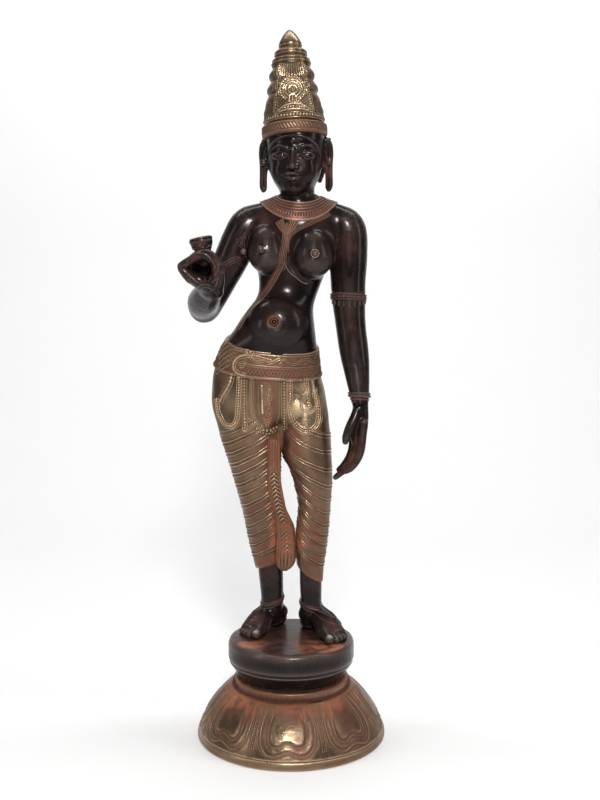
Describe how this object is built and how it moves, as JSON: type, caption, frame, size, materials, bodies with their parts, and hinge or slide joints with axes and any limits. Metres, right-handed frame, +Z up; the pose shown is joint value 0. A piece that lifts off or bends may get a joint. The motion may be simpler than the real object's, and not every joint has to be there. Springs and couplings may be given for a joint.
{
  "type": "parvati figure",
  "caption": "Cast figure of a standing goddess in a bent pose, one hand raised in a ring, tall conical crown and pleated skirt, on a domed lotus plinth.",
  "frame": {"origin": "centre of the plinth's underside", "axes": "+Z up, the figure faces -Y, and its raised right hand is towards -X"},
  "size_m": [0.2144, 0.2056, 0.7608],
  "materials": {
    "dark_bronze": "dark polished patina, with brass and copper showing in the ornament",
    "aged_brass": "aged olive brass with red-brown patina"
  },
  "bodies": {
    "root": {"figure": "dark_bronze", "lotus_plinth": "aged_brass"}
  },
  "joints": []
}
